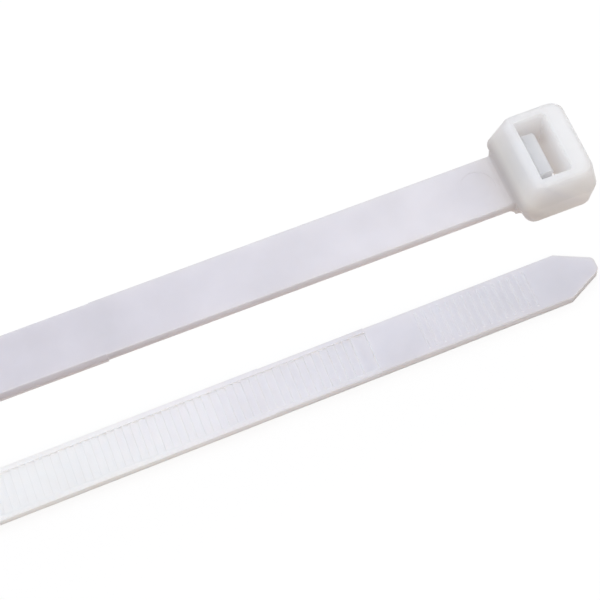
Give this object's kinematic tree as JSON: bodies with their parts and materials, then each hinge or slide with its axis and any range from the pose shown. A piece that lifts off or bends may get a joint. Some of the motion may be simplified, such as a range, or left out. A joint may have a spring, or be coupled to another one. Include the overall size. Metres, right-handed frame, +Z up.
{
  "type": "cable tie",
  "caption": "Moulded nylon cable tie bent into a hairpin, with a toothed strap, a tapered ribbed tail and a head whose sprung pawl grips the teeth.",
  "frame": {"origin": "bottom centre of the bent tie's box, on the smooth face of the tail run", "axes": "+X along the tail run towards the tip, +Y across the strap, +Z up from the tail run to the head run"},
  "size_m": [0.1426, 0.0112, 0.0411],
  "materials": {
    "nylon": "natural nylon, milky and slightly translucent, satin"
  },
  "bodies": {
    "root": {"cable_tie": "nylon"}
  },
  "joints": []
}
